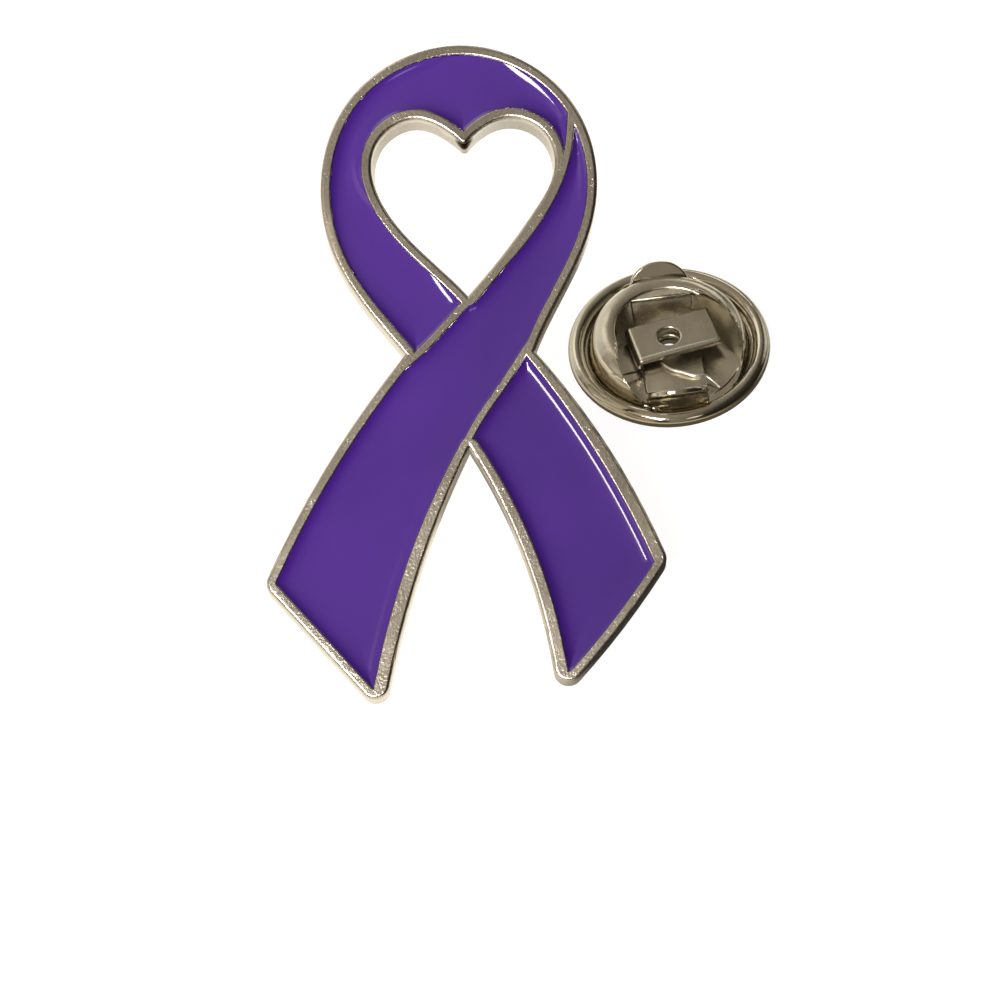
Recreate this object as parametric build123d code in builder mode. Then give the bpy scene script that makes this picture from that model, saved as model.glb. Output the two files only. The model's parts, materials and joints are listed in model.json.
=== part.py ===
import os
from math import atan2, cos, degrees, radians, sin

from build123d import *

os.makedirs("parts", exist_ok=True)

# Ribbon plate
ribbon_width = 18.8
ribbon_height = 31.9
plate_thickness = 1.8
front_edge_round = 0.18
resting_round = 0.15
leg_corner_round = 0.7
outer_line = 0.48
heart_line = 0.48
left_inner_line = 0.7
right_inner_line = 0.63
right_outer_line = 0.66
crossing_line = 0.36
well_depth = 0.45

# Heart opening
heart_narrowing = 0.12
cusp_round = 0.25

# Enamel fills
enamel_gap = 0.03
enamel_below_lines = 0.08

# Post soldered to the back of the plate
post_radius = 0.5
post_length = 8.0
post_point = 1.2
solder_radius = 1.3
solder_height = 0.35

# Clutch, lying with its wings up
rim_radius = 5.0
rim_roll = 0.42
base_thickness = 0.3
post_clearance = 0.06
seat_gap = 0.04
rim_to_cap = 0.08
cap_wall_slant = 0.3
cap_dome_width = 1.18
cap_shoulder_height = 0.95
cap_height = 1.5
cap_wall = 0.22
opening_inset = 0.68
opening_lean = 38.2
opening_shift = 0.5
window_sill = 0.22
window_height = 1.1
window_side_gap = 0.2
spring_sheet = 0.28
spring_turn = 3.0
wing_width = 3.05
leaf_inset = 0.98
wing_angle = 52.0
wing_length = 2.0
wing_end_flat = 0.25
bar_turn = 13.0
bar_left = 1.95
bar_right = 2.4
bar_width = 2.3
bar_rise = 0.9
bar_fold = 0.32

# Radii of the clutch that follow from its rim and from the width of its wings
cap_foot_radius = rim_radius - 2 * rim_roll - rim_to_cap
cap_shoulder_radius = cap_foot_radius - cap_wall_slant
cap_top_radius = cap_shoulder_radius - cap_dome_width
opening_radius = cap_shoulder_radius - opening_inset
leaf_reach = cap_foot_radius - leaf_inset
wing_end_round = (wing_width - wing_end_flat) / 2

# Places on the surface that everything lies on
pin_turn = 0.6
clutch_across = 9.98
clutch_away = 6.68

# Steps in which an offset edge is drawn again, and how near two equal lengths come
spline_steps = 24
same_length = 0.01

# Shape of the ribbon, as shares of its width and height, measured from the post
# Columns: across, up
left_notch = (-0.162, 0.032)
right_notch = (0.168, 0.038)
crotch = (0.003, -0.110)
left_corner = (-0.513, -0.318)
left_tip = (-0.208, -0.513)
right_tip = (0.228, -0.487)
right_corner = (0.505, -0.277)
arch = [
    (0.237, 0.127),
    (0.307, 0.221),
    (0.326, 0.295),
    (0.279, 0.404),
    (0.153, 0.479),
    (-0.007, 0.508),
    (-0.177, 0.487),
    (-0.316, 0.417),
    (-0.379, 0.300),
    (-0.340, 0.177),
    (-0.243, 0.089),
]

# Bow of each leg edge
left_outer_bow = 0.432
left_inner_bow = 0.48
right_inner_bow = 0.72
right_end_bow = 0.226
right_outer_bow = 0.489

# Edges of the strand that lies in front, from its upper end, in the same shares
strand_left = [
    (0.266, 0.455),
    (0.252, 0.411),
    (0.242, 0.346),
    (0.202, 0.276),
    (0.096, 0.185),
    (-0.018, 0.112),
    (-0.129, 0.040),
    (-0.207, 0.003),
]
strand_right = [
    (0.191, 0.069),
    (0.138, 0.022),
    (0.095, -0.018),
    (0.053, -0.054),
    (0.016, -0.091),
    (-0.001, -0.113),
    (-0.012, -0.150),
    (-0.016, -0.188),
]

# Heart opening, its size and the place of its lower point, in the same shares
heart_size = (0.4606, 0.2737)
heart_foot = (-0.0021, 0.1216)

# Its sides from the lower point to the cusp between the lobes, as shares of the opening's size
# Columns: across, up
heart_right = [
    (0.000, 0.000),
    (0.114, 0.135),
    (0.374, 0.493),
    (0.475, 0.723),
    (0.415, 0.921),
    (0.215, 1.000),
    (0.070, 0.940),
    (-0.023, 0.838),
]
heart_left = [
    (0.000, 0.000),
    (-0.210, 0.203),
    (-0.462, 0.490),
    (-0.538, 0.749),
    (-0.480, 0.898),
    (-0.304, 0.991),
    (-0.137, 0.934),
    (-0.023, 0.838),
]


def on_plate(share):
    return (ribbon_width * share[0], ribbon_height * share[1])


def on_heart(share, shrink=0):
    width, height = on_plate(heart_size)
    foot_across, foot_up = on_plate(heart_foot)
    across = foot_across + (width - 2 * shrink) * share[0]
    up = foot_up + shrink + (height - 2 * shrink) * share[1]
    return (across, up)


# Outline of the ribbon, front view
with BuildSketch() as outline:
    with BuildLine():
        Spline(*[on_plate(share) for share in [right_notch] + arch + [left_notch]])
        SagittaArc(on_plate(left_notch), on_plate(left_corner), -left_outer_bow)
        Line(on_plate(left_corner), on_plate(left_tip))
        SagittaArc(on_plate(left_tip), on_plate(crotch), left_inner_bow)
        SagittaArc(on_plate(crotch), on_plate(right_tip), right_inner_bow)
        SagittaArc(on_plate(right_tip), on_plate(right_corner), -right_end_bow)
        SagittaArc(on_plate(right_corner), on_plate(right_notch), -right_outer_bow)
    make_face()
    sharp_corners = [
        outline.vertices().sort_by_distance(Vector(*on_plate(share)))[0]
        for share in (left_corner, left_tip, right_tip, right_corner)
    ]
    fillet(sharp_corners, leg_corner_round)

# Heart opening, front view, at the front of the plate and a little smaller at its back
with BuildSketch() as heart:
    with BuildLine():
        Spline(*[on_heart(share) for share in heart_right])
        Spline(*[on_heart(share) for share in heart_left])
    make_face()

with BuildSketch() as heart_at_back:
    with BuildLine():
        Spline(*[on_heart(share, heart_narrowing) for share in heart_right])
        Spline(*[on_heart(share, heart_narrowing) for share in heart_left])
    make_face()

# Strand in front, with the raised lines on both its edges, run out past the outline
with BuildSketch() as strand:
    with BuildLine():
        left_edge = Spline(*[on_plate(share) for share in strand_left])
        right_edge = Spline(*[on_plate(share) for share in strand_right])
        Polyline(
            left_edge @ 1,
            (-ribbon_width, (left_edge @ 1).Y),
            (-ribbon_width, -ribbon_height),
            ((right_edge @ 1).X, -ribbon_height),
            right_edge @ 1,
        )
        Polyline(
            right_edge @ 0,
            (ribbon_width, (right_edge @ 0).Y),
            (ribbon_width, ribbon_height),
            ((left_edge @ 0).X, ribbon_height),
            left_edge @ 0,
        )
    make_face()


# Leg edges with a raised line that broadens down the leg: upper end, lower end, bow, full width,
# and the turn from the way down the edge to the way into the leg
broad_lines = [
    (crotch, left_tip, -left_inner_bow, left_inner_line, -90),
    (crotch, right_tip, right_inner_bow, right_inner_line, 90),
    (right_notch, right_corner, right_outer_bow, right_outer_line, -90),
]


def broad_line(upper, lower, bow, width, inward, gap):
    """Face between a leg edge and an arc that broadens from the outer line's width to the full one."""
    edge = SagittaArc(on_plate(upper), on_plate(lower), bow, mode=Mode.PRIVATE)
    inner = [
        edge @ share + (edge % share).rotate(Axis.Z, inward) * (line + gap)
        for share, line in ((0, outer_line), (0.5, width), (1, width))
    ]
    arc = ThreePointArc(*inner, mode=Mode.PRIVATE)
    sides = [Edge.make_line(edge @ 0, inner[0]), Edge.make_line(inner[2], edge @ 1)]
    return make_face([edge, arc, *sides], mode=Mode.PRIVATE)


def drawn_beside(sketch, distance):
    """Face of a sketch's outline moved out by a distance, its curved edges drawn again as splines."""
    with BuildSketch(mode=Mode.PRIVATE) as moved:
        add(sketch)
        offset(amount=distance)
    edges = []
    for edge in moved.face().outer_wire().edges():
        if edge.geom_type in (GeomType.LINE, GeomType.CIRCLE):
            edges.append(edge)
        else:
            points = [edge @ (step / spline_steps) for step in range(spline_steps + 1)]
            edges.append(Edge.make_spline(points, tangents=(edge % 0, edge % 1)))
    return make_face(edges, mode=Mode.PRIVATE)


def enamel_cells(gap):
    """Faces of the front strand, the loop and the leg, each a gap inside its raised lines."""
    with BuildSketch() as field:
        add(drawn_beside(outline.sketch, -outer_line - gap))
        add(drawn_beside(heart.sketch, heart_line + gap), mode=Mode.SUBTRACT)
        for upper, lower, bow, width, inward in broad_lines:
            add(broad_line(upper, lower, bow, width, inward, gap), mode=Mode.SUBTRACT)
    with BuildSketch() as front:
        add(drawn_beside(strand.sketch, -crossing_line - gap))
        add(field.sketch, mode=Mode.INTERSECT)
    with BuildSketch() as behind:
        add(field.sketch)
        add(drawn_beside(strand.sketch, gap) if gap else strand.sketch, mode=Mode.SUBTRACT)
    leg, loop = behind.faces().sort_by(Axis.Y)
    return front.face(), loop, leg


# The pin leans on its two leg tips and on the point of its post
arcs = outline.edges().filter_by(GeomType.CIRCLE)
tip_rounds = arcs.filter_by(lambda edge: abs(edge.radius - leg_corner_round) < same_length)
left_tip_centre = tip_rounds.sort_by_distance(Vector(*on_plate(left_tip)))[0].arc_center
right_tip_centre = tip_rounds.sort_by_distance(Vector(*on_plate(right_tip)))[0].arc_center
tip_step = right_tip_centre - left_tip_centre
tip_slope = atan2(tip_step.Y, tip_step.X)
post_to_tips = abs(left_tip_centre.X * tip_step.Y - left_tip_centre.Y * tip_step.X) / tip_step.length
lean = atan2(post_length, post_to_tips + leg_corner_round - resting_round)

# Planes of the leaning plate
turn = radians(pin_turn)
along_tips = Vector(cos(turn), sin(turn), 0)
towards_viewer = Vector(sin(turn), -cos(turn), 0)
up_the_plate = Vector(0, 0, sin(lean)) - towards_viewer * cos(lean)
out_of_plate = Vector(0, 0, cos(lean)) + towards_viewer * sin(lean)
across_plate = along_tips * cos(tip_slope) - up_the_plate * sin(tip_slope)
back_height = (post_length - resting_round) * cos(lean) + resting_round
plate_back = Plane(origin=(0, 0, back_height), x_dir=across_plate, z_dir=out_of_plate)
plate_front = plate_back.offset(plate_thickness)
enamel_bed = plate_front.offset(enamel_gap - well_depth)
post_side = Plane(origin=plate_back.origin, x_dir=across_plate, z_dir=up_the_plate * -1)

# Ribbon plate: struck blank with raised lines and wells, and the post soldered to its back
with BuildPart() as ribbon_plate:
    with BuildSketch(plate_back):
        add(outline.sketch)
    extrude(amount=plate_thickness)
    with BuildSketch(plate_back):
        add(heart_at_back.sketch)
    with BuildSketch(plate_front):
        add(heart.sketch)
    loft(mode=Mode.SUBTRACT)
    plate_axis = Axis(plate_back.origin, out_of_plate)
    cusp = plate_back.from_local_coords(Vector(*on_heart(heart_right[-1]), plate_thickness / 2))
    fillet(ribbon_plate.edges().sort_by_distance(cusp)[0], cusp_round)
    faces_from_back = ribbon_plate.faces().sort_by(plate_axis)
    fillet(faces_from_back[-1].edges(), front_edge_round)
    fillet(faces_from_back[0].outer_wire().edges(), resting_round)
    with BuildSketch(plate_front):
        add(enamel_cells(0))
    extrude(amount=-well_depth, mode=Mode.SUBTRACT)
    with BuildSketch(post_side):
        with BuildLine():
            Polyline(
                (0, plate_thickness / 2),
                (solder_radius, plate_thickness / 2),
                (solder_radius, 0),
                (post_radius, -solder_height),
                (post_radius, post_point - post_length),
                (resting_round, resting_round - post_length),
            )
            RadiusArc((resting_round, resting_round - post_length), (0, -post_length), resting_round)
            Line((0, -post_length), (0, plate_thickness / 2))
        make_face()
    revolve(axis=plate_axis)

# Enamel fills, each in its own well
front_fill, loop_fill, leg_fill = enamel_cells(enamel_gap)
fill_depth = well_depth - enamel_below_lines - enamel_gap
with BuildPart() as enamel_front:
    with BuildSketch(enamel_bed):
        add(front_fill)
    extrude(amount=fill_depth)

with BuildPart() as enamel_loop:
    with BuildSketch(enamel_bed):
        add(loop_fill)
    extrude(amount=fill_depth)

with BuildPart() as enamel_leg:
    with BuildSketch(enamel_bed):
        add(leg_fill)
    extrude(amount=fill_depth)

# Planes of the clutch
clutch_floor = Plane(origin=(clutch_across, clutch_away, 0))
clutch_side = Plane(origin=clutch_floor.origin, x_dir=(1, 0, 0), z_dir=(0, -1, 0))
clutch_axis = Axis(clutch_floor.origin, (0, 0, 1))
bore_radius = post_radius + post_clearance

# Base of the clutch: disc with a hole for the post and a rolled rim
with BuildPart() as clutch_base:
    with BuildSketch(clutch_side):
        with BuildLine():
            Polyline(
                (bore_radius, 0),
                (rim_radius - rim_roll, 0),
                (rim_radius - rim_roll, base_thickness),
                (bore_radius, base_thickness),
                close=True,
            )
        make_face()
        with Locations((rim_radius - rim_roll, rim_roll)):
            Circle(rim_roll)
    revolve(axis=clutch_axis)

# Cap of the clutch: domed wall, open to the viewer's side and over the top
cap_floor = base_thickness + seat_gap
with BuildPart() as clutch_cap:
    with BuildSketch(clutch_side):
        with BuildLine():
            foot = (cap_foot_radius, cap_floor)
            shoulder = (cap_shoulder_radius, cap_floor + cap_shoulder_height)
            top = (cap_top_radius, cap_floor + cap_height)
            wall = Line(foot, shoulder)
            TangentArc(shoulder, top, tangent=wall % 1)
            offset(amount=cap_wall, side=Side.LEFT)
        make_face()
    revolve(axis=clutch_axis)
    split(bisect_by=clutch_floor.offset(cap_floor), keep=Keep.TOP)
    with BuildSketch(
        Plane(
            origin=clutch_floor.origin + Vector(opening_shift, 0, 0),
            x_dir=(1, 0, 0),
            z_dir=(0, -sin(radians(opening_lean)), cos(radians(opening_lean))),
        )
    ):
        Circle(opening_radius)
    extrude(amount=3 * rim_radius, mode=Mode.SUBTRACT)
    with BuildSketch(clutch_floor.offset(cap_floor + window_sill).rotated((0, 0, spring_turn))):
        Rectangle(wing_width + 2 * window_side_gap, 2 * rim_radius)
    extrude(amount=window_height, mode=Mode.SUBTRACT)

# Spring of the clutch: one folded strip with a wing at each end and a bar over the hole
leaf_bottom = base_thickness + 2 * seat_gap
rise = radians(wing_angle)
leaf_plane = clutch_floor.offset(leaf_bottom).rotated((0, 0, spring_turn))
bar_plane = clutch_floor.offset(leaf_bottom).rotated((0, 0, bar_turn))
with BuildPart() as clutch_spring:
    with BuildSketch(Plane(origin=leaf_plane.origin, x_dir=leaf_plane.y_dir, z_dir=leaf_plane.x_dir)):
        with BuildLine():
            Polyline(
                (-leaf_reach - wing_length * cos(rise), wing_length * sin(rise)),
                (-leaf_reach, 0),
                (leaf_reach, 0),
                (leaf_reach + wing_length * cos(rise), wing_length * sin(rise)),
            )
            offset(amount=spring_sheet, side=Side.LEFT)
        make_face()
    extrude(amount=wing_width / 2, both=True)
    wing_corners = clutch_spring.edges().filter_by(
        lambda edge: abs(edge.length - spring_sheet) < same_length
    )
    fillet(wing_corners, wing_end_round)
    with BuildSketch(Plane(origin=bar_plane.origin, x_dir=bar_plane.x_dir, z_dir=bar_plane.y_dir * -1)):
        with BuildLine():
            FilletPolyline(
                (0, 0), (-bar_left, 0), (-bar_left, bar_rise), (bar_right, bar_rise), radius=bar_fold
            )
            offset(amount=spring_sheet, side=Side.RIGHT)
        make_face()
    extrude(amount=bar_width / 2, both=True)
    with BuildSketch(clutch_floor):
        Circle(bore_radius)
    extrude(amount=2 * rim_radius, mode=Mode.SUBTRACT)

# All pieces are set about the middle of the ground that they cover
pieces = {
    "ribbon_plate": ribbon_plate,
    "enamel_front": enamel_front,
    "enamel_loop": enamel_loop,
    "enamel_leg": enamel_leg,
    "clutch_base": clutch_base,
    "clutch_cap": clutch_cap,
    "clutch_spring": clutch_spring,
}
middle = Compound([piece.part for piece in pieces.values()]).bounding_box().center()
for name, piece in pieces.items():
    piece.part = piece.part.moved(Location((-middle.X, -middle.Y, 0)))
    piece.part.label = name
    export_step(piece.part, "parts/" + name + ".step")

print("lean of the plate", round(degrees(lean), 2), "slope of the tips", round(degrees(tip_slope), 2))
print("shift of all pieces", round(-middle.X, 3), round(-middle.Y, 3), "post root", round(back_height, 3))
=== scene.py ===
import json
from math import cos, radians, sin

import bmesh
import bpy
import numpy as np
from mathutils import Matrix, Vector
from mathutils.geometry import delaunay_2d_cdt


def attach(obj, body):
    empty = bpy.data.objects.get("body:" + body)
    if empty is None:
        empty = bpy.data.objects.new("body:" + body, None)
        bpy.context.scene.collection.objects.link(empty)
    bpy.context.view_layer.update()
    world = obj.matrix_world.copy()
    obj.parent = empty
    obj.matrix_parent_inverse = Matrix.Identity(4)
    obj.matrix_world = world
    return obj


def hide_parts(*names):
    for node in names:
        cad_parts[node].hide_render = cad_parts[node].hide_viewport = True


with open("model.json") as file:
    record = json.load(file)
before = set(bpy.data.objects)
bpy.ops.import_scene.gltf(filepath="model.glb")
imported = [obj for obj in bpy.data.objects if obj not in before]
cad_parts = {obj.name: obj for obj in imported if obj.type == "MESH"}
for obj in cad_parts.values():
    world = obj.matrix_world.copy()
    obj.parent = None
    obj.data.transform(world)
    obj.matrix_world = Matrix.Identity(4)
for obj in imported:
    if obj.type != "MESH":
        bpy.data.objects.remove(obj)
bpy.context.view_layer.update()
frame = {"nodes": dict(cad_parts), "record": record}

mm = 0.001

# Camera: a long lens from in front and above, as far to the side and as
# tilted as the pin and its clutch are seen.
camera_aim = Vector((-1.312, -1.763, 0.0)) * mm
camera_distance = 280.0 * mm
camera_height = radians(51.8)
camera_roll = radians(-4.8)
pixels_per_mm = 20.55
picture_side = 1000 / pixels_per_mm * mm

lens = bpy.data.cameras.new("camera")
lens.sensor_width = 36.0
lens.lens = lens.sensor_width * camera_distance / picture_side
lens.clip_start = 20.0 * mm
lens.clip_end = 5000.0 * mm
camera = bpy.data.objects.new("camera", lens)
bpy.context.scene.collection.objects.link(camera)
back = Vector((0.0, -cos(camera_height), sin(camera_height)))
upward = Vector((0.0, sin(camera_height), cos(camera_height)))
sideways = Vector((1.0, 0.0, 0.0))
right = cos(camera_roll) * sideways + sin(camera_roll) * upward
up = cos(camera_roll) * upward - sin(camera_roll) * sideways
turn = Matrix((right, up, back)).transposed()
camera.matrix_world = Matrix.Translation(camera_aim + back * camera_distance) @ turn.to_4x4()
bpy.context.scene.camera = camera

# Floor: a plain pale sheet. It looks near white, and what the metal mirrors of it
# is painted light and shade: a warm grey with painted shade that gets darker towards
# the right, painted shadows under the pin's crossing and round the clutch's foot,
# and painted pools of light.
floor_size = 900.0 * mm
paper_grey = 0.30
paper_glow = 0.90
mirrored_reach = 16.0 * mm
# Painted light and shade, light on the left and dark on the right.
# Columns: share of the way from left to right within that reach, and colour
mirrored_light_and_shade = [
    (0.0, (1.22, 1.14, 0.98)),
    (0.36, (1.25, 1.15, 0.98)),
    (0.56, (0.70, 0.63, 0.53)),
    (0.85, (0.07, 0.06, 0.05)),
]
# Painted light and shadow: a golden pool before the clutch, a shadow under the
# pin's crossing, a dark patch in front on the right, pools of light at the back
# and on the right, and a shadow round the clutch's foot.
# Columns: middle across and away, inner and outer reach, all in mm, and colour
mirrored_pools_and_shadows = [
    (6.5, -1.0, 2.0, 8.0, (0.86, 0.74, 0.53)),
    (-2.2, -0.8, 2.0, 4.2, (0.36, 0.32, 0.27)),
    (9.0, -11.5, 6.0, 9.5, (0.035, 0.030, 0.028)),
    (9.0, 20.0, 6.0, 13.0, (1.40, 1.35, 1.18)),
    (19.0, 13.0, 6.0, 11.0, (0.80, 0.76, 0.64)),
    (7.66, 5.60, 5.0, 5.7, (0.14, 0.12, 0.085)),
]


def shader(tree, kind, **settings):
    """Adds one node to a tree and sets its properties by name."""
    node = tree.nodes.new("ShaderNode" + kind)
    for name, value in settings.items():
        setattr(node, name, value)
    return node


def put(tree, socket, value):
    """Feeds a socket from another socket, or sets its plain value."""
    if isinstance(value, bpy.types.NodeSocket):
        tree.links.new(value, socket)
    else:
        socket.default_value = value


def ramp(tree, fac, stops):
    """Colour ramp node with the given (place, colour) stops, fed by fac."""
    node = shader(tree, "ValToRGB")
    points = node.color_ramp.elements
    while len(points) < len(stops):
        points.new(0.5)
    for point, (place, colour) in zip(points, stops):
        point.position = place
        point.color = (*colour, 1.0)
    put(tree, node.inputs["Fac"], fac)
    return node.outputs["Color"]


def grey(value):
    """Opaque grey with the same value in each channel."""
    return (value, value, value, 1.0)


def sums(tree, operation, a, b=0.0, c=0.0):
    """Math node with one operation on up to three values."""
    node = shader(tree, "Math", operation=operation)
    for socket, value in zip(node.inputs, (a, b, c)):
        put(tree, socket, value)
    return node.outputs[0]


def between(tree, value, low, high, start=0.0, end=1.0):
    """Smooth step from start to end as the value goes from low to high."""
    node = shader(tree, "MapRange", interpolation_type="SMOOTHSTEP")
    labels = ("Value", "From Min", "From Max", "To Min", "To Max")
    for label, amount in zip(labels, (value, low, high, start, end)):
        put(tree, node.inputs[label], amount)
    return node.outputs["Result"]


def group(name, inputs, outputs):
    """Empty node group with named sockets, given as name: (kind, value)."""
    made = bpy.data.node_groups.new(name, "ShaderNodeTree")
    for label, (kind, value) in inputs.items():
        socket = made.interface.new_socket(
            label, in_out="INPUT", socket_type="NodeSocket" + kind
        )
        if value is not None:
            socket.default_value = value
    for label, kind in outputs.items():
        made.interface.new_socket(
            label, in_out="OUTPUT", socket_type="NodeSocket" + kind
        )
    return made, made.nodes.new("NodeGroupInput"), made.nodes.new("NodeGroupOutput")


glow_patch, given, taken = group(
    "glow_patch",
    {
        "Below": ("Color", (0.0, 0.0, 0.0, 1.0)),
        "Vector": ("Vector", None),
        "Middle": ("Vector", (0.0, 0.0, 0.0)),
        "Inner": ("Float", 0.1),
        "Outer": ("Float", 0.2),
        "Colour": ("Color", (1.0, 1.0, 1.0, 1.0)),
    },
    {"Colour": "Color"},
)
apart = shader(glow_patch, "VectorMath", operation="DISTANCE")
put(glow_patch, apart.inputs[0], given.outputs["Vector"])
put(glow_patch, apart.inputs[1], given.outputs["Middle"])
inner, outer = given.outputs["Inner"], given.outputs["Outer"]
shown = between(glow_patch, apart.outputs["Value"], inner, outer, 1.0, 0.0)
# The mix node's colours are its inputs 6 and 7 and its output 2
blend = shader(glow_patch, "Mix", data_type="RGBA")
put(glow_patch, blend.inputs["Factor"], shown)
put(glow_patch, blend.inputs[6], given.outputs["Below"])
put(glow_patch, blend.inputs[7], given.outputs["Colour"])
put(glow_patch, taken.inputs["Colour"], blend.outputs[2])


def patched(tree, below, vector, patches):
    """Lays soft round patches over a colour: middle, inner reach, outer reach, colour."""
    for middle, inner, outer, colour in patches:
        patch = shader(tree, "Group", node_tree=glow_patch)
        put(tree, patch.inputs["Below"], below)
        put(tree, patch.inputs["Vector"], vector)
        put(tree, patch.inputs["Middle"], middle)
        put(tree, patch.inputs["Inner"], inner)
        put(tree, patch.inputs["Outer"], outer)
        put(tree, patch.inputs["Colour"], (*colour, 1.0))
        below = patch.outputs["Colour"]
    return below


floor_mesh = bpy.data.meshes.new("floor")
half = floor_size / 2
floor_mesh.from_pydata(
    [(-half, -half, 0), (half, -half, 0), (half, half, 0), (-half, half, 0)], [], [(0, 1, 2, 3)]
)
floor = bpy.data.objects.new("floor", floor_mesh)
bpy.context.scene.collection.objects.link(floor)
paper = bpy.data.materials.new("pale_paper")
paper.use_nodes = True
tree = paper.node_tree
tree.nodes.clear()
path = shader(tree, "LightPath")
coords = shader(tree, "TexCoord")
spread = shader(tree, "SeparateXYZ")
put(tree, spread.inputs[0], coords.outputs["Object"])
across = shader(tree, "MapRange")
put(tree, across.inputs["Value"], spread.outputs["X"])
put(tree, across.inputs["From Min"], -mirrored_reach)
put(tree, across.inputs["From Max"], mirrored_reach)
seen = shader(tree, "BsdfDiffuse")
put(tree, seen.inputs["Color"], grey(paper_grey))
glow = shader(tree, "Emission")
put(tree, glow.inputs["Color"], grey(1.0))
put(tree, glow.inputs["Strength"], paper_glow)
white = shader(tree, "AddShader")
put(tree, white.inputs[0], seen.outputs[0])
put(tree, white.inputs[1], glow.outputs[0])
# Painted light and shade: what the metal mirrors of the floor glows in these tones and patches
mirrored = shader(tree, "Emission")
tones = patched(
    tree,
    ramp(tree, across.outputs["Result"], mirrored_light_and_shade),
    coords.outputs["Object"],
    [
        ((x * mm, y * mm, 0.0), inner * mm, outer * mm, colour)
        for x, y, inner, outer, colour in mirrored_pools_and_shadows
    ],
)
put(tree, mirrored.inputs["Color"], tones)
mix = shader(tree, "MixShader")
put(tree, mix.inputs[0], path.outputs["Is Glossy Ray"])
put(tree, mix.inputs[1], white.outputs[0])
put(tree, mix.inputs[2], mirrored.outputs[0])
out = shader(tree, "OutputMaterial")
put(tree, out.inputs[0], mix.outputs[0])
floor_mesh.materials.append(paper)

# Light: one soft box on the left in front, and a room in soft browns that is
# bright low down at the back left and dark on the right.
box_direction = (-25.0, 43.0)
box_distance = 220.0 * mm
box_width = 88.0 * mm
box_length = 96.0 * mm
box_power = 0.45
box_colour = (1.0, 0.97, 0.93)
room_rise = (-0.1, 1.0)
# Columns: share of the way up between those heights, and colour
room_tones = [
    (0.0, (0.30, 0.27, 0.22)),
    (0.30, (0.16, 0.14, 0.11)),
    (0.60, (0.30, 0.265, 0.21)),
    (1.0, (0.42, 0.37, 0.31)),
]
# From left to right the room's light falls to dark_share of itself between these places
dark_from = -0.15
dark_to = 0.60
dark_share = 0.12
# Columns: azimuth and height in degrees, inner and outer reach as a chord, and colour
room_patches = [
    (-140.0, 12.0, 0.25, 0.75, (1.00, 0.97, 0.90)),
    (-75.0, 25.0, 0.15, 0.40, (0.90, 0.85, 0.75)),
    (-148.0, 42.0, 0.10, 0.28, (1.50, 1.42, 1.25)),
    (165.0, 25.0, 0.08, 0.25, (1.60, 1.50, 1.35)),
    (0.0, 18.0, 0.15, 0.45, (0.30, 0.265, 0.215)),
    (0.0, 52.0, 0.10, 0.25, (0.24, 0.21, 0.16)),
    (20.0, 33.0, 0.05, 0.13, (1.90, 1.80, 1.60)),
    (-50.0, 60.0, 0.10, 0.22, (0.95, 0.74, 0.45)),
    (131.0, 18.0, 0.10, 0.45, (0.85, 0.82, 0.70)),
]

bpy.context.scene.view_settings.view_transform = "Standard"
bpy.context.scene.view_settings.look = "None"


def towards(azimuth, height):
    """Unit vector out to a place on the sphere, azimuth from the front to the right."""
    a, e = radians(azimuth), radians(height)
    return Vector((sin(a) * cos(e), -cos(a) * cos(e), sin(e)))


lamp = bpy.data.lights.new("key_box", "AREA")
lamp.shape = "RECTANGLE"
lamp.size = box_width
lamp.size_y = box_length
lamp.energy = box_power
lamp.color = box_colour
box = bpy.data.objects.new("key_box", lamp)
away = towards(*box_direction)
facing = away.to_track_quat("Z", "Y").to_matrix().to_4x4()
box.matrix_world = Matrix.Translation(away * box_distance) @ facing
bpy.context.scene.collection.objects.link(box)

world = bpy.data.worlds.new("room")
bpy.context.scene.world = world
world.use_nodes = True
tree = world.node_tree
tree.nodes.clear()
coords = shader(tree, "TexCoord")
spread = shader(tree, "SeparateXYZ")
put(tree, spread.inputs[0], coords.outputs["Generated"])
rise = ramp(tree, between(tree, spread.outputs["Z"], *room_rise), room_tones)
side = shader(tree, "VectorMath", operation="SCALE")
put(tree, side.inputs[0], rise)
lit = between(tree, spread.outputs["X"], dark_from, dark_to, 1.0, dark_share)
put(tree, side.inputs["Scale"], lit)
room = patched(
    tree,
    side.outputs[0],
    coords.outputs["Generated"],
    [
        (towards(azimuth, height), inner, outer, colour)
        for azimuth, height, inner, outer, colour in room_patches
    ],
)
path = shader(tree, "LightPath")
around = shader(tree, "Background")
put(tree, around.inputs["Color"], room)
plain = shader(tree, "Background")
put(tree, plain.inputs["Color"], grey(1.0))
mix = shader(tree, "MixShader")
put(tree, mix.inputs[0], path.outputs["Is Camera Ray"])
put(tree, mix.inputs[1], around.outputs[0])
put(tree, mix.inputs[2], plain.outputs[0])
out = shader(tree, "OutputWorld")
put(tree, out.inputs[0], mix.outputs[0])

# Struck plate: one brass blank with raised lines round its wells and a post
# soldered to its back, barrelled until its edges are soft, and nickel-plated.
# The plating is darker in a soft patch on the cusp of the heart.
plate_colour = (0.570, 0.525, 0.455)
plate_edge_round = 0.06 * mm
# The cusp's place across, up and off the middle of the post, in mm
cusp_place = (0.74, 11.12, 4.88)
cusp_dark_reach = 0.80 * mm
cusp_dark_colour = (0.13, 0.10, 0.075)
# Marks in a metre of plating, the noise from which patches of pits begin and are
# full, and what pits, clouds and grain do to the tone, the blur and the height
cloud_scale = 260.0
patch_scale = 650.0
wave_scale = 900.0
pit_scale = 5200.0
grain_scale = 8000.0
patch_range = (0.48, 0.66)
pit_range = (0.60, 0.72)
pit_shade = 0.6
pit_blur = 0.3
pit_depth = 0.35
cloud_blur = 0.12
grain_blur = 0.2
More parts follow.
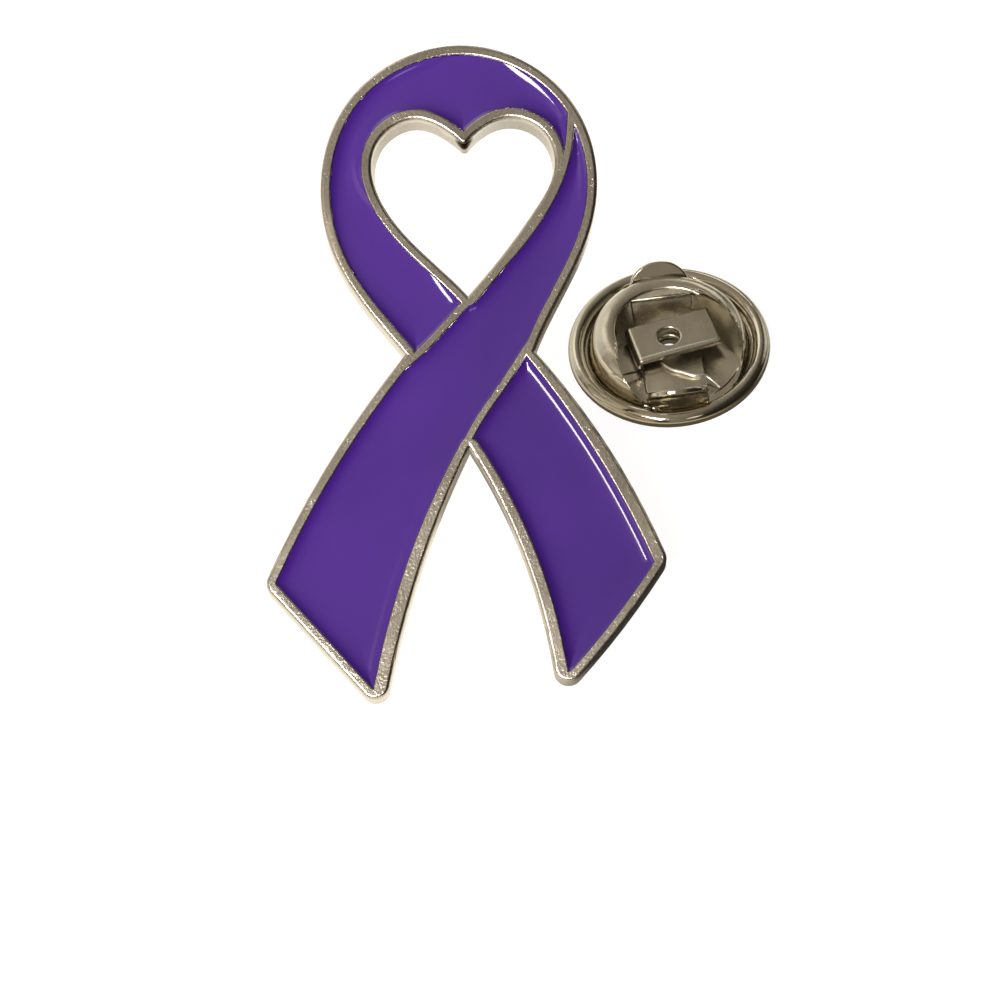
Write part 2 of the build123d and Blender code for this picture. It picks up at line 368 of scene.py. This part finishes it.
# Points nearer than seam are one. Up to flat_turn a surface is flat, up to
# smooth_turn it is shaded smooth, and past sharp_turn its edge is rounded.
seam = 0.001 * mm
flat_turn = radians(0.4)
smooth_turn = radians(40.0)
sharp_turn = radians(48.0)
# Least cosines between the plate's normal and a level face, or one that faces it
level_cosine = 0.99995
facing_cosine = 0.999


def noise(tree, vector, scale, detail=4.0, rough=0.55):
    """Noise texture on a vector, its value from 0 to 1."""
    node = shader(tree, "TexNoise")
    put(tree, node.inputs["Vector"], vector)
    put(tree, node.inputs["Scale"], scale)
    put(tree, node.inputs["Detail"], detail)
    put(tree, node.inputs["Roughness"], rough)
    return node.outputs["Fac"]


rubbed, given, taken = group(
    "rubbed_plating",
    {
        "Vector": ("Vector", None),
        "Colour": ("Color", (0.6, 0.6, 0.6, 1.0)),
        "Pits": ("Float", 0.5),
        "Waves": ("Float", 0.5),
        "Grain": ("Float", 0.2),
        "Blur": ("Float", 0.1),
        "Cloud": ("Float", 0.5),
    },
    {"Colour": "Color", "Roughness": "Float", "Height": "Float"},
)
tree = rubbed
vector = given.outputs["Vector"]
cloud = noise(tree, vector, cloud_scale, 3.0)
fine = noise(tree, vector, grain_scale, 3.0, 0.6)
wave = noise(tree, vector, wave_scale, 2.0, 0.5)
patch = between(tree, noise(tree, vector, patch_scale, 2.0), *patch_range)
pit = between(tree, noise(tree, vector, pit_scale, 2.0), *pit_range)
pits = sums(tree, "MULTIPLY", sums(tree, "MULTIPLY", pit, patch), given.outputs["Pits"])
cloudy = sums(tree, "SUBTRACT", cloud, 0.5)
tone = sums(tree, "MULTIPLY_ADD", cloudy, given.outputs["Cloud"], 1.0)
grainy = sums(tree, "SUBTRACT", fine, 0.5)
grime = sums(tree, "MULTIPLY_ADD", grainy, given.outputs["Grain"], tone)
shade = sums(tree, "MULTIPLY", grime, sums(tree, "MULTIPLY_ADD", pits, -pit_shade, 1.0))
tint = shader(tree, "VectorMath", operation="SCALE")
put(tree, tint.inputs[0], given.outputs["Colour"])
put(tree, tint.inputs["Scale"], shade)
put(tree, taken.inputs["Colour"], tint.outputs[0])
blur = sums(tree, "MULTIPLY_ADD", cloud, cloud_blur, given.outputs["Blur"])
by_grain = sums(tree, "MULTIPLY", given.outputs["Grain"], grain_blur)
blur = sums(tree, "MULTIPLY_ADD", fine, by_grain, blur)
put(tree, taken.inputs["Roughness"], sums(tree, "MULTIPLY_ADD", pits, pit_blur, blur))
relief = sums(tree, "MULTIPLY", wave, given.outputs["Waves"])
relief = sums(tree, "MULTIPLY_ADD", fine, given.outputs["Grain"], relief)
put(tree, taken.inputs["Height"], sums(tree, "MULTIPLY_ADD", pits, -pit_depth, relief))


def plating(name, colour, pits, waves, grain, blur, cloud, depth):
    """Nickel-plated metal: rubbed plating over small pits and soft waves, depth in metres."""
    made = bpy.data.materials.new(name)
    made.use_nodes = True
    tree = made.node_tree
    bsdf = tree.nodes["Principled BSDF"]
    put(tree, bsdf.inputs["Metallic"], 1.0)
    coords = shader(tree, "TexCoord")
    worn = shader(tree, "Group", node_tree=rubbed)
    put(tree, worn.inputs["Vector"], coords.outputs["Object"])
    put(tree, worn.inputs["Colour"], (*colour, 1.0))
    put(tree, worn.inputs["Pits"], pits)
    put(tree, worn.inputs["Waves"], waves)
    put(tree, worn.inputs["Grain"], grain)
    put(tree, worn.inputs["Blur"], blur)
    put(tree, worn.inputs["Cloud"], cloud)
    put(tree, bsdf.inputs["Base Color"], worn.outputs["Colour"])
    put(tree, bsdf.inputs["Roughness"], worn.outputs["Roughness"])
    bump = shader(tree, "Bump")
    put(tree, bump.inputs["Distance"], depth)
    put(tree, bump.inputs["Strength"], 1.0)
    put(tree, bump.inputs["Height"], worn.outputs["Height"])
    put(tree, bsdf.inputs["Normal"], bump.outputs["Normal"])
    return made


def softened(name, node, edge_round, material, facing=None):
    """Copy of a solid's mesh with its seams joined and its sharp edges rounded.

    Where a direction is given, only the sharp edges of the faces that point that
    way are rounded, and only the level ones of these faces are joined up.
    """
    work = bmesh.new()
    work.from_mesh(node.data)
    bmesh.ops.remove_doubles(work, verts=work.verts, dist=seam)
    work.normal_update()
    flats = {
        face
        for face in work.faces
        if facing is None or face.normal.dot(facing) > level_cosine
    }
    bmesh.ops.dissolve_limit(
        work,
        angle_limit=flat_turn,
        verts=[vert for vert in work.verts if not flats.isdisjoint(vert.link_faces)],
        edges=[edge for edge in work.edges if not flats.isdisjoint(edge.link_faces)],
    )
    work.normal_update()
    weight = work.edges.layers.float.new("bevel_weight_edge")
    for edge in work.edges:
        sharp = len(edge.link_faces) == 2 and edge.calc_face_angle() > sharp_turn
        faced = facing is None or any(
            face.normal.dot(facing) > facing_cosine for face in edge.link_faces
        )
        edge[weight] = 1.0 if sharp and faced else 0.0
    mesh = bpy.data.meshes.new(name)
    work.to_mesh(mesh)
    work.free()
    mesh.polygons.foreach_set("use_smooth", [True] * len(mesh.polygons))
    mesh.set_sharp_from_angle(angle=smooth_turn)
    mesh.materials.clear()
    mesh.materials.append(material)
    piece = bpy.data.objects.new(name, mesh)
    bpy.context.scene.collection.objects.link(piece)
    bevel = piece.modifiers.new("soft_edges", "BEVEL")
    bevel.width = edge_round
    bevel.segments = 3
    bevel.limit_method = "WEIGHT"
    bevel.use_clamp_overlap = False
    even = piece.modifiers.new("even_faces", "WEIGHTED_NORMAL")
    even.mode = "FACE_AREA"
    even.weight = 80
    even.keep_sharp = True
    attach(piece, "root")
    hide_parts(node.name)


mounts = {mount["name"]: mount for mount in frame["record"]["mounts"]}
post_place = Vector(mounts["post"]["pos_m"])
plate_normal = -Vector(mounts["post"]["axis"]).normalized()
plate_across = (sideways - plate_normal * sideways.dot(plate_normal)).normalized()
plate_up = plate_normal.cross(plate_across)
struck = plating(
    "struck_nickel",
    plate_colour,
    pits=0.6,
    waves=0.45,
    grain=0.45,
    blur=0.11,
    cloud=0.5,
    depth=0.03 * mm,
)
tree = struck.node_tree
across, above, off_post = cusp_place
cusp = post_place + (across * plate_across + above * plate_up + off_post * plate_normal) * mm
# The plating's colour and edge tint are darker in a soft patch on the cusp
undarkened = {"Base Color": tree.nodes["Group"].outputs["Colour"], "Specular Tint": grey(1.0)}
for socket, clean in undarkened.items():
    darkened = patched(
        tree,
        clean,
        tree.nodes["Texture Coordinate"].outputs["Object"],
        [(cusp, cusp_dark_reach * 0.5, cusp_dark_reach, cusp_dark_colour)],
    )
    put(tree, tree.nodes["Principled BSDF"].inputs[socket], darkened)
softened(
    "ribbon_blank",
    frame["nodes"]["ribbon_plate"],
    plate_edge_round,
    struck,
    plate_normal,
)

# Enamel fills: violet soft enamel poured into the three wells, drawn up by
# its own skin where it meets the raised lines, and baked to a high gloss.
violet = (0.064, 0.0155, 0.252)
# Height of the lines over the solid fill, and depths of the poured one under the lines
line_above_fill = 0.08 * mm
fill_level = 0.24 * mm
fill_bottom = 0.40 * mm
fill_spread = 0.02 * mm
meniscus_height = 0.20 * mm
meniscus_reach = 0.27 * mm
# Places where the skin stands lower: across, up, reach in mm and share left of it
low_skin = [(-2.9, 6.9, 3.2, 0.08), (1.46, 15.3, 2.0, 0.10)]
# Steps of the mesh: distances of its rings from the rim, and steps along the rim and inside
ring_steps = np.array([0.04, 0.08, 0.13, 0.19, 0.26, 0.34, 0.43, 0.55, 0.70, 0.90]) * mm
edge_step = 0.09 * mm
field_step = 0.30 * mm
# Vertices this near the top are upper ones, and the way inward turns over turn_blur
top_depth = 0.01 * mm
turn_blur = 0.04 * mm
# Painted shadow of the raised lines: the enamel is darker by this share at its left
# borders, and by less at its lower ones
left_band = 0.35 * mm
left_shade = 0.30
lower_share = 0.3
# Painted light and shade: tone in the middle of the ground, and its change in a metre
# across and away, darker towards the right and lighter further away
middle_tone = 0.93
tone_across = -12.0
tone_away = 11.0
# Marks in a metre of enamel, and what they do to its tone and its level
drift_scale = 160.0
speck_scale = 5200.0
swell_scale = 420.0
drift_least = 0.72
drift_change = 0.5
speck_change = 0.06
swell_depth = 0.02 * mm

plate_axes = np.array([plate_across, plate_up, plate_normal])
post_root = (plate_axes @ np.array(post_place))[:2]


def rim_of(node):
    """Outline of a fill's upper face, as segments with the face on their left.

    The mesh is turned into the plate's axes. Its upper triangles are those whose
    vertices all lie at the top, and a side that only one of them has is on the rim.
    """
    mesh = node.data
    points = np.empty(len(mesh.vertices) * 3)
    mesh.vertices.foreach_get("co", points)
    points = points.reshape(-1, 3) @ plate_axes.T
    mesh.calc_loop_triangles()
    corners = np.empty(len(mesh.loop_triangles) * 3, dtype=int)
    mesh.loop_triangles.foreach_get("vertices", corners)
    points, same = np.unique(np.round(points, 8), axis=0, return_inverse=True)
    triangles = same.reshape(-1)[corners].reshape(-1, 3)
    top = points[:, 2].max()
    triangles = triangles[(points[triangles, 2] > top - top_depth).all(axis=1)]
    sides = triangles[:, [0, 1, 1, 2, 2, 0]].reshape(-1, 2)
    forward = sides[:, 0] * len(points) + sides[:, 1]
    backward = sides[:, 1] * len(points) + sides[:, 0]
    sides = sides[~np.isin(forward, backward)]
    return points[sides[:, 0], :2], points[sides[:, 1], :2], top


def nearest_rim(places, start, end):
    """Distance of each place inside the rim, negative outside it, and the unit step inward.

    The foot of the perpendicular is kept between the segment's ends. The step is
    averaged over the segments, weighted by e to the minus their extra distance
    over turn_blur, so that it turns smoothly.
    """
    run = end - start
    share = ((places[:, None] - start) * run).sum(axis=2) / (run * run).sum(axis=1)
    foot = start + np.clip(share, 0.0, 1.0)[..., None] * run
    away = places[:, None] - foot
    gap = np.linalg.norm(away, axis=2)
    least = gap.min(axis=1)
    weight = np.exp(-(gap - least[:, None]) / turn_blur)
    inward = np.stack([-run[:, 1], run[:, 0]], axis=1) / np.linalg.norm(run, axis=1)[:, None]
    step = (weight[..., None] * inward).sum(axis=1)
    step /= np.linalg.norm(step, axis=1)[:, None]
    nearest = away[np.arange(len(places)), gap.argmin(axis=1)]
    return least * np.sign((nearest * step).sum(axis=1)), step


def poured(name, node):
    """Body of a fill: level inside, raised at the rim by its skin, flat underneath.

    Its height over the level is the meniscus height times e to the minus distance
    from the rim over the meniscus reach, lessened at the places of low_skin by a
    bell curve. Its upper face joins rings that run inside the rim and a square
    grid within them by a triangulation. Its painted shadow of the raised lines,
    the shade attribute, is left_shade times e to the minus distance over
    left_band, times the inward step's part to the right plus lower_share of its
    part upwards, kept from 0 to 1.
    """
    start, end, top = rim_of(node)
    pieces = np.maximum(1, np.ceil(np.linalg.norm(end - start, axis=1) / edge_step)).astype(int)
    first = np.cumsum(pieces) - pieces
    which = np.repeat(np.arange(len(start)), pieces)
    part = (np.arange(len(which)) - first[which]) / pieces[which]
    run = (end - start)[which]
    inward = np.stack([-run[:, 1], run[:, 0]], axis=1) / np.linalg.norm(run, axis=1)[:, None]
    corners = np.round(np.concatenate([start, end]), 8)
    number = np.unique(corners, axis=0, return_inverse=True)[1].reshape(-1)
    head = np.empty(number.max() + 1, dtype=int)
    head[number[: len(start)]] = first
    following = np.arange(1, len(which) + 1)
    following[first + pieces - 1] = head[number[len(start):]]
    outward = -inward.copy()
    outward[following] -= inward
    outward /= np.linalg.norm(outward, axis=1)[:, None]
    on_rim = start[which] + part[:, None] * run
    rings = (on_rim[None] + ring_steps[:, None, None] * inward[None]).reshape(-1, 2)
    wanted = np.repeat(ring_steps, len(on_rim))
    low, high = on_rim.min(axis=0), on_rim.max(axis=0)
    columns = np.arange(low[0], high[0], field_step)
    rows = np.arange(low[1], high[1], field_step)
    grid = np.stack(np.meshgrid(columns, rows), axis=-1).reshape(-1, 2)
    kept_share = 0.93
    grid_margin = ring_steps[-1] + field_step / 3
    wanted = np.concatenate([kept_share * wanted, np.full(len(grid), grid_margin)])
    inner = np.concatenate([rings, grid])
    inner = inner[nearest_rim(inner, start, end)[0] > wanted]
    places = np.concatenate([on_rim + fill_spread * outward, inner])
    joins = np.column_stack([np.arange(len(on_rim)), following])
    made = delaunay_2d_cdt([Vector(p) for p in places.tolist()], joins.tolist(), [], 1, 1e-9)
    flat = np.array([tuple(v) for v in made[0]])
    gap, step = nearest_rim(flat, start, end)
    rise = meniscus_height * np.exp(-(gap + fill_spread) / meniscus_reach)
    for across, above, reach, left in low_skin:
        apart = np.linalg.norm(flat / mm - (across, above) - post_root / mm, axis=1)
        rise *= 1 - (1 - left) * np.exp(-((apart / reach) ** 4))
    ridge_top = top + line_above_fill
    upper = np.column_stack([flat, ridge_top - fill_level + rise])
    lower = np.column_stack([flat, np.full(len(flat), ridge_top - fill_bottom)])
    normals = np.column_stack([rise[:, None] / meniscus_reach * step, np.ones(len(flat))])
    normals /= np.linalg.norm(normals, axis=1)[:, None]
    under = np.tile((0.0, 0.0, -1.0), (len(flat), 1))
    count = len(flat)
    faces = [tuple(face) for face in made[2]]
    faces += [tuple(v + count for v in reversed(face)) for face in made[2]]
    faces += [(b, a, a + count, b + count) for a, b in joins.tolist()]
    mesh = bpy.data.meshes.new(name)
    mesh.from_pydata((np.concatenate([upper, lower]) @ plate_axes).tolist(), [], faces)
    mesh.polygons.foreach_set("use_smooth", [True] * len(mesh.polygons))
    turned = np.concatenate([normals, under]) @ plate_axes
    mesh.normals_split_custom_set_from_vertices(turned.tolist())
    # Painted shadow of the raised lines on the enamel's left and lower borders, kept as the
    # shade attribute
    leftward = np.clip(step[:, 0] + lower_share * step[:, 1], 0.0, 1.0)
    shade = left_shade * np.exp(-gap / left_band) * leftward
    shades = mesh.attributes.new("shade", "FLOAT", "POINT")
    shades.data.foreach_set("value", np.concatenate([shade, shade]))
    piece = bpy.data.objects.new(name, mesh)
    bpy.context.scene.collection.objects.link(piece)
    return piece


enamel = bpy.data.materials.new("violet_enamel")
enamel.use_nodes = True
tree = enamel.node_tree
bsdf = tree.nodes["Principled BSDF"]
coords = shader(tree, "TexCoord")
drift = noise(tree, coords.outputs["Object"], drift_scale, 3.0)
specks = noise(tree, coords.outputs["Object"], speck_scale, 2.0)
drifting = sums(tree, "MULTIPLY_ADD", drift, drift_change, drift_least)
tone = sums(tree, "ADD", drifting, sums(tree, "MULTIPLY", specks, speck_change))
# Painted shade: the enamel's tone is darker towards the right and lighter further away
spread = shader(tree, "SeparateXYZ")
put(tree, spread.inputs[0], coords.outputs["Object"])
painted_slant = sums(tree, "MULTIPLY_ADD", spread.outputs["Y"], tone_away, middle_tone)
painted_slant = sums(tree, "MULTIPLY_ADD", spread.outputs["X"], tone_across, painted_slant)
tone = sums(tree, "MULTIPLY", tone, painted_slant)
# Painted shadow: the enamel's tone is lessened by the shade attribute along its left and lower
# borders
painted_ridge_shadow = shader(tree, "Attribute", attribute_name="shade")
tone = sums(tree, "MULTIPLY", tone, sums(tree, "SUBTRACT", 1.0, painted_ridge_shadow.outputs["Fac"]))
tint = shader(tree, "VectorMath", operation="SCALE")
put(tree, tint.inputs[0], violet)
put(tree, tint.inputs["Scale"], tone)
put(tree, bsdf.inputs["Base Color"], tint.outputs[0])
put(tree, bsdf.inputs["Roughness"], sums(tree, "MULTIPLY_ADD", drift, 0.05, 0.05))
put(tree, bsdf.inputs["IOR"], 1.50)
put(tree, bsdf.inputs["Coat Weight"], 0.6)
put(tree, bsdf.inputs["Coat Roughness"], 0.03)
bump = shader(tree, "Bump")
put(tree, bump.inputs["Distance"], swell_depth)
put(tree, bump.inputs["Strength"], 0.6)
put(tree, bump.inputs["Height"], noise(tree, coords.outputs["Object"], swell_scale, 2.0))
put(tree, bsdf.inputs["Normal"], bump.outputs["Normal"])

for node_name in ("enamel_front", "enamel_loop", "enamel_leg"):
    fill = poured(node_name.replace("enamel", "poured"), frame["nodes"][node_name])
    fill.data.materials.append(enamel)
    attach(fill, "root")
    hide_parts(node_name)

# Clutch: a disc with a rolled rim, a domed cap and a folded spring strip, stamped
# from thin sheet, pressed together and plated bright. The sheet inside is dented,
# a wavy lip stands up where the strip was cut, and a bead runs along the bar's near
# edge. Both beads are plated pale as a painted highlight.
clutch_colour = (0.560, 0.520, 0.425)
clutch_edge_round = 0.085 * mm
# Painted highlight: the pale colour of the lip and of the bead on the bar's edge, for bright
# lines along them
painted_highlight_colour = (0.93, 0.90, 0.82)
relief_depth = 0.03 * mm
outer_waves = 1.0
inner_waves = 1.4
outer_blur = 0.05
inner_blur = 0.20
# Dents lie within this radius and up to this height, and fade out over the rest
dent_scale = 450.0
dent_depth = 0.42 * mm
dented_radius = 3.6 * mm
dented_reach = 1.04 * dented_radius
dent_height = 0.72 * mm
dent_reach = 0.80 * mm
lip_radius = 0.09 * mm
bar_edge_radius = 0.055 * mm
edge_points = 60
# Columns: across, away, height, in mm from the middle of the clutch's foot
lip_line = np.array(
    [
        (-0.51, -1.20, 0.75),
        (-0.08, -1.69, 0.76),
        (0.51, -1.98, 0.77),
        (0.98, -2.20, 0.76),
        (1.34, -2.24, 0.71),
        (1.65, -2.22, 0.62),
        (1.96, -2.46, 0.50),
        (2.29, -2.86, 0.42),
    ]
)
# The bar's near upper edge in the same columns
bar_line = np.array(
    [
        (-1.55, -1.52, 1.52),
        (-0.40, -1.25, 1.54),
        (0.95, -0.94, 1.54),
        (2.35, -0.62, 1.53),
    ]
)

clutch_place = Vector(mounts["clutch_bore"]["pos_m"])


def clutch_plating(name, dented):
    """Bright plating, rubbed duller inside the cap, there with soft dents where asked."""
    made = plating(
        name,
        clutch_colour,
        pits=0.1,
        waves=outer_waves,
        grain=0.0,
        blur=outer_blur,
        cloud=0.35,
        depth=relief_depth,
    )
    tree = made.node_tree
    place = tree.nodes["Texture Coordinate"].outputs["Object"]
    worn = tree.nodes["Group"]
    bump = tree.nodes["Bump"]
    level = shader(tree, "VectorMath", operation="MULTIPLY")
    put(tree, level.inputs[0], place)
    put(tree, level.inputs[1], (1.0, 1.0, 0.0))
    apart = shader(tree, "VectorMath", operation="DISTANCE")
    put(tree, apart.inputs[0], level.outputs[0])
    put(tree, apart.inputs[1], (clutch_place.x, clutch_place.y, 0.0))
    inside = between(tree, apart.outputs["Value"], dented_radius, dented_reach, 1.0, 0.0)
    waves = sums(tree, "MULTIPLY_ADD", inside, inner_waves - outer_waves, outer_waves)
    put(tree, worn.inputs["Waves"], waves)
    blur = sums(tree, "MULTIPLY_ADD", inside, inner_blur - outer_blur, outer_blur)
    put(tree, worn.inputs["Blur"], blur)
    if dented:
        height = shader(tree, "SeparateXYZ")
        put(tree, height.inputs[0], place)
        low = between(tree, height.outputs["Z"], dent_height, dent_reach, 1.0, 0.0)
        dent = sums(tree, "SUBTRACT", noise(tree, place, dent_scale, 0.0), 0.5)
        dent = sums(tree, "MULTIPLY", dent, sums(tree, "MULTIPLY", inside, low))
        dent = sums(tree, "MULTIPLY", dent, dent_depth / relief_depth)
        put(tree, bump.inputs["Height"], sums(tree, "ADD", worn.outputs["Height"], dent))
    return made


bright = clutch_plating("bright_nickel", False)
dented = clutch_plating("dented_nickel", True)
frame["nodes"]["clutch_base"].material_slots[0].material = dented
for name, node_name, metal in (
    ("stamped_cap", "clutch_cap", bright),
    ("folded_spring", "clutch_spring", dented),
):
    softened(name, frame["nodes"][node_name], clutch_edge_round, metal)


def smooth_line(points, count):
    """Cubic curve through points, with a tangent that joins each one's neighbours.

    Between two points a and b with tangents u and v, at share f of the way, it is
    (2f^3 - 3f^2 + 1) a + (f^3 - 2f^2 + f) u + (3f^2 - 2f^3) b + (f^3 - f^2) v.
    """
    tangents = np.gradient(points, axis=0)
    t = np.linspace(0.0, len(points) - 1.0, count)
    i = np.minimum(t.astype(int), len(points) - 2)
    f = (t - i)[:, None]
    a, b, u, v = points[i], points[i + 1], tangents[i], tangents[i + 1]
    return (
        (2 * f**3 - 3 * f**2 + 1) * a
        + (f**3 - 2 * f**2 + f) * u
        + (3 * f**2 - 2 * f**3) * b
        + (f**3 - f**2) * v
    )


def rod(name, line, radius, around=16):
    """Round bead along a line: rings about its points, almost closed at its ends.

    With s from -1 to 1 along the line, the radius is the full one times the
    fourth root of 1 minus the square of 0.999 s, so that both ends are rounded.
    """
    count = len(line)
    run = np.gradient(line, axis=0)
    run /= np.linalg.norm(run, axis=1)[:, None]
    side = np.cross(run, (0.0, 0.0, 1.0))
    side /= np.linalg.norm(side, axis=1)[:, None]
    over = np.cross(side, run)
    angle = np.linspace(0.0, 2 * np.pi, around, endpoint=False)
    share = np.linspace(-1.0, 1.0, count)
    size = radius * (1 - (0.999 * share) ** 2) ** 0.25
    level_part = np.cos(angle)[None, :, None] * side[:, None]
    ring = level_part + np.sin(angle)[None, :, None] * over[:, None]
    points = (line[:, None] + size[:, None, None] * ring).reshape(-1, 3)
    i, j = np.meshgrid(np.arange(count - 1), np.arange(around), indexing="ij")
    k = (j + 1) % around
    this, following = i * around, (i + 1) * around
    faces = np.stack([this + j, this + k, following + k, following + j], axis=-1)
    ends = [tuple(range(around - 1, -1, -1)), tuple(range((count - 1) * around, count * around))]
    mesh = bpy.data.meshes.new(name)
    mesh.from_pydata(points.tolist(), [], faces.reshape(-1, 4).tolist() + ends)
    mesh.polygons.foreach_set("use_smooth", [True] * len(mesh.polygons))
    piece = bpy.data.objects.new(name, mesh)
    bpy.context.scene.collection.objects.link(piece)
    return piece


foot = np.array([clutch_place.x, clutch_place.y, 0.0])
# Painted highlight: the lip and the bar's edge bead are plated pale so that they show as bright
# lines
painted_highlight_edge = plating(
    "painted_highlight_edge",
    painted_highlight_colour,
    pits=0.1,
    waves=0.5,
    grain=0.0,
    blur=0.28,
    cloud=0.2,
    depth=relief_depth,
)
for name, line, radius in (
    ("spring_lip", lip_line, lip_radius),
    ("bar_edge", bar_line, bar_edge_radius),
):
    edge = rod(name, foot + smooth_line(line * mm, edge_points), radius)
    edge.data.materials.append(painted_highlight_edge)
    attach(edge, "root")
